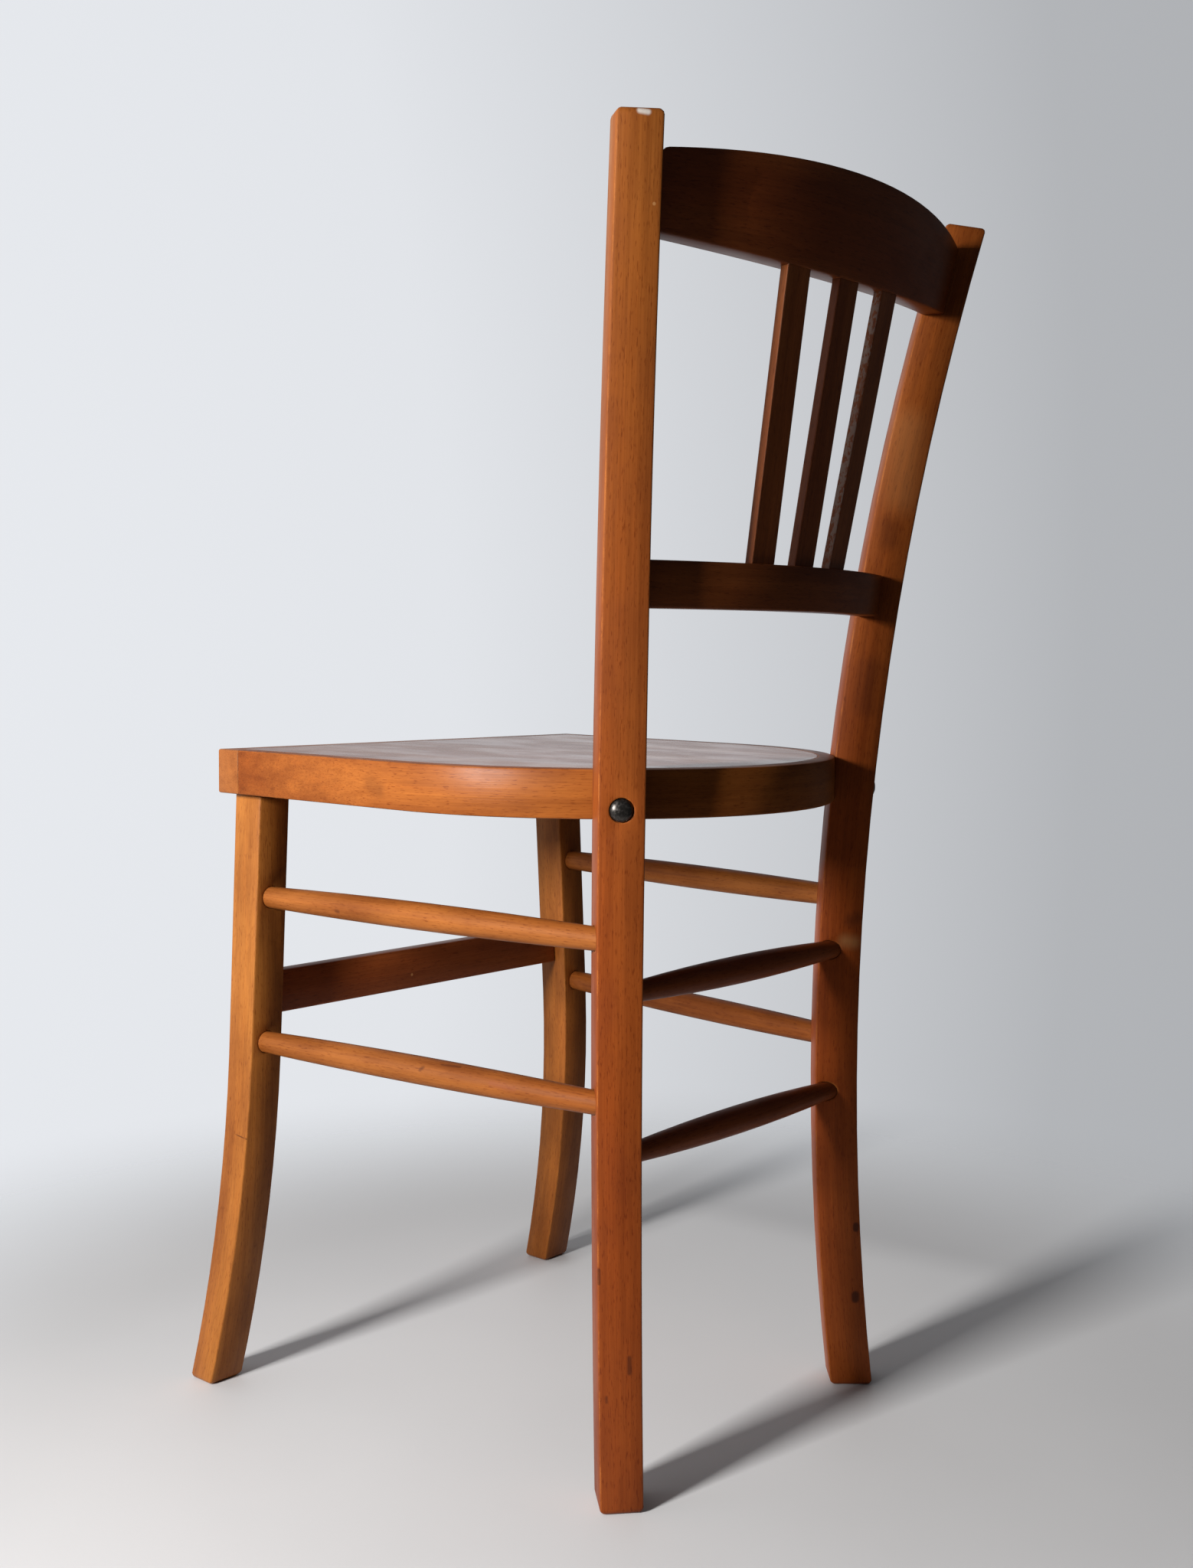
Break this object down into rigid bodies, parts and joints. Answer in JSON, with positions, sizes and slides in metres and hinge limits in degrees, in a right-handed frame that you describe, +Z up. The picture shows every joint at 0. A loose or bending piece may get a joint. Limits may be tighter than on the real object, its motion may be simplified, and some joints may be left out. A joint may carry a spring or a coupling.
{
  "type": "wooden chair",
  "caption": "Varnished wooden cafe chair with a flat round-backed seat, sabre front legs, splayed bent back posts, arched crest rail, back slats, round rods and a flat front stretcher.",
  "frame": {"origin": "on the floor, under the centre of the chair's bounding box", "axes": "+Z is up and -Y is the way that the chair faces, so +X is the sitter's left"},
  "size_m": [0.3822, 0.445, 0.8136],
  "materials": {
    "varnished_beech": "glossy honey-orange varnish over beech, worn dark at the edges",
    "rail_beech": "glossy honey-orange varnish over beech",
    "rod_beech": "glossy honey-orange varnish over turned beech",
    "seat_plywood": "glossy varnish over thin plywood",
    "unfinished_beech": "bare beech",
    "blackened_steel": "smooth black finish",
    "zinc_steel": "plain zinc finish"
  },
  "bodies": {
    "root": {"back_post_left": "varnished_beech", "back_post_right": "varnished_beech", "front_leg_left": "varnished_beech", "front_leg_right": "varnished_beech", "seat_hoop": "varnished_beech", "seat_front_rail": "varnished_beech", "front_stretcher": "varnished_beech", "crest_rail": "rail_beech", "lower_back_rail": "rail_beech", "back_slat_left": "rail_beech", "back_slat_centre": "rail_beech", "back_slat_right": "rail_beech", "side_rod_upper_left": "rod_beech", "side_rod_upper_right": "rod_beech", "side_rod_lower_left": "rod_beech", "side_rod_lower_right": "rod_beech", "back_rod_upper": "rod_beech", "back_rod_lower": "rod_beech", "seat_panel": "seat_plywood", "corner_block_left": "unfinished_beech", "corner_block_right": "unfinished_beech", "rim_dowel_upper_left": "unfinished_beech", "rim_dowel_upper_right": "unfinished_beech", "rim_dowel_lower_left": "unfinished_beech", "rim_dowel_lower_right": "unfinished_beech", "seat_bolt_left": "blackened_steel", "seat_bolt_right": "blackened_steel", "bolt_washer_left": "zinc_steel", "bolt_washer_right": "zinc_steel", "bolt_nut_left": "zinc_steel", "bolt_nut_right": "zinc_steel", "block_screw_rail_left": "zinc_steel", "block_screw_rail_right": "zinc_steel", "block_screw_hoop_left": "zinc_steel", "block_screw_hoop_right": "zinc_steel"}
  },
  "joints": []
}
